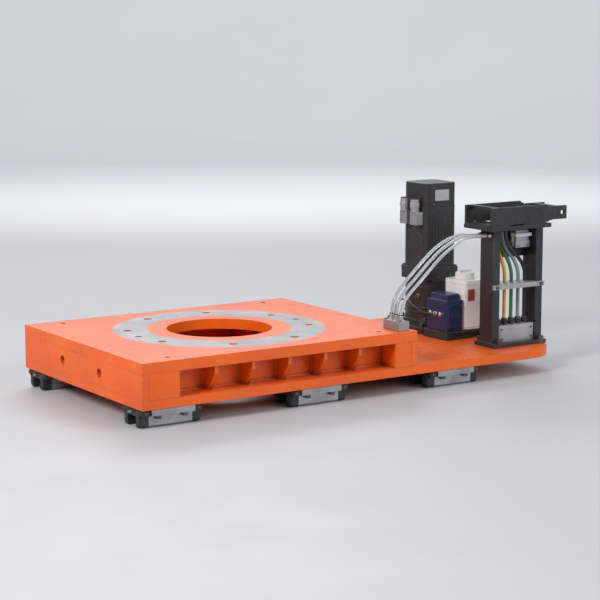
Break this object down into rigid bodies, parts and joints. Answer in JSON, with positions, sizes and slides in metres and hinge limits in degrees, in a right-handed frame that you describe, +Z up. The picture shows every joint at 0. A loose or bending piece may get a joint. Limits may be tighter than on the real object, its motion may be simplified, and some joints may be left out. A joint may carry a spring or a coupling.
{
  "type": "linear guide carriage",
  "caption": "Travelling carriage for a robot on a two-rail track: welded deck on profile rail runner blocks, with rack drive, rack lubricator and energy chain post",
  "frame": {"origin": "centre of the robot's bolt circle on the deck top", "axes": "+X along the rails towards the drive end, +Y across the rails towards the rack side, +Z up out of the deck"},
  "size_m": [1.493, 0.7, 0.537],
  "materials": {
    "orange_paint": "satin orange powder coat with worn edges",
    "black_paint": "satin black paint",
    "black_plastic": "moulded black plastic",
    "runner_steel": "ground rail steel with an oil film",
    "gear_steel": "machined and hardened gear steel",
    "bolt_steel": "blackened and zinc plated fasteners",
    "grey_casting": "die-cast aluminium, light grey",
    "felt": "grease-soaked felt",
    "blue_paint": "dark blue enamel",
    "white_plastic": "white moulded plastic",
    "cable_jacket": "smooth cable jackets in several colours",
    "clear_hose": "translucent polyurethane hose",
    "black_hose": "black feed tube"
  },
  "bodies": {
    "carriage": {"base_plate": "orange_paint", "deck_plate": "orange_paint", "side_webs": "orange_paint", "end_plate_left": "orange_paint", "end_plate_right": "orange_paint", "corner_panels": "orange_paint", "side_ribs": "orange_paint", "inner_ribs": "orange_paint", "runner_body_1": "runner_steel", "runner_body_2": "runner_steel", "runner_body_3": "runner_steel", "runner_body_4": "runner_steel", "runner_body_5": "runner_steel", "runner_body_6": "runner_steel", "runner_caps_1": "black_plastic", "runner_caps_2": "black_plastic", "runner_caps_3": "black_plastic", "runner_caps_4": "black_plastic", "runner_caps_5": "black_plastic", "runner_caps_6": "black_plastic", "runner_rollers": "runner_steel", "runner_screws": "bolt_steel", "grease_nipples": "bolt_steel", "felt_gear_bracket": "gear_steel", "felt_feed_tube": "black_hose", "lube_base": "black_plastic", "lube_pump": "blue_paint", "lube_reservoir": "white_plastic", "chain_post": "black_paint", "chain_end_bracket": "black_plastic", "clamp_bar": "grey_casting", "supply_cables": "cable_jacket", "terminal_box": "grey_casting", "cable_glands": "black_plastic", "connector_base": "grey_casting", "connector_cover": "grey_casting", "air_hoses": "clear_hose", "hose_fittings": "grey_casting", "tail_screws": "bolt_steel"},
    "drive": {"drive_flange": "black_paint", "gearbox_housing": "black_paint", "ring_gear": "gear_steel", "motor_adapter": "black_paint", "drive_bearings": "gear_steel", "motor_body": "black_paint", "motor_cap": "black_paint", "motor_connectors": "grey_casting", "gearbox_screws": "bolt_steel"},
    "output": {"planet_carrier": "gear_steel", "pinion": "gear_steel", "pinion_retainer": "bolt_steel"},
    "rotor": {"motor_rotor": "gear_steel", "sun_gear": "gear_steel"},
    "planet_1": {"planet_gear_1": "gear_steel"},
    "planet_2": {"planet_gear_2": "gear_steel"},
    "planet_3": {"planet_gear_3": "gear_steel"},
    "felt_wheel": {"felt_gear": "felt"},
    "chain_end": {"chain_link": "black_plastic"},
    "port_lever": {"connector_lever": "white_plastic"},
    "filler_cap": {"lube_lid": "white_plastic"}
  },
  "joints": [
    {"name": "drive_setting", "type": "slide", "parent": "carriage", "child": "drive", "axis": [0, 1, 0], "range_m": [-0.003, 0.003]},
    {"name": "output_spin", "type": "hinge", "parent": "drive", "child": "output", "pos_m": [0.855, 0.14, -0.15], "axis": [0, 0, 1], "continuous": true},
    {"name": "rotor_spin", "type": "hinge", "parent": "drive", "child": "rotor", "pos_m": [0.855, 0.14, 0.1], "axis": [0, 0, 1], "continuous": true},
    {"name": "planet_1_spin", "type": "hinge", "parent": "output", "child": "planet_1", "pos_m": [0.88875, 0.14, -0.005], "axis": [0, 0, 1], "continuous": true},
    {"name": "planet_2_spin", "type": "hinge", "parent": "output", "child": "planet_2", "pos_m": [0.83813, 0.16923, -0.005], "axis": [0, 0, 1], "continuous": true},
    {"name": "planet_3_spin", "type": "hinge", "parent": "output", "child": "planet_3", "pos_m": [0.83813, 0.11077, -0.005], "axis": [0, 0, 1], "continuous": true},
    {"name": "felt_spin", "type": "hinge", "parent": "carriage", "child": "felt_wheel", "pos_m": [0.738, 0.16, -0.15], "axis": [0, 0, 1], "continuous": true},
    {"name": "chain_pivot", "type": "hinge", "parent": "carriage", "child": "chain_end", "pos_m": [0.975, -0.23, 0.293], "axis": [0, 1, 0], "range_deg": [0, 30]},
    {"name": "lever_swing", "type": "hinge", "parent": "carriage", "child": "port_lever", "pos_m": [0.913, -0.223, 0.2], "axis": [1, 0, 0], "range_deg": [0, 90]},
    {"name": "cap_turn", "type": "hinge", "parent": "carriage", "child": "filler_cap", "pos_m": [0.858, -0.035, 0.08], "axis": [0, 0, 1], "range_deg": [0, 90]}
  ],
  "couplings": [
    {"joint": "rotor_spin", "follows": "output_spin", "ratio": 5},
    {"joint": "planet_1_spin", "follows": "output_spin", "ratio": -2.6667},
    {"joint": "planet_2_spin", "follows": "output_spin", "ratio": -2.6667},
    {"joint": "planet_3_spin", "follows": "output_spin", "ratio": -2.6667},
    {"joint": "felt_spin", "follows": "output_spin", "ratio": 1.5714}
  ]
}
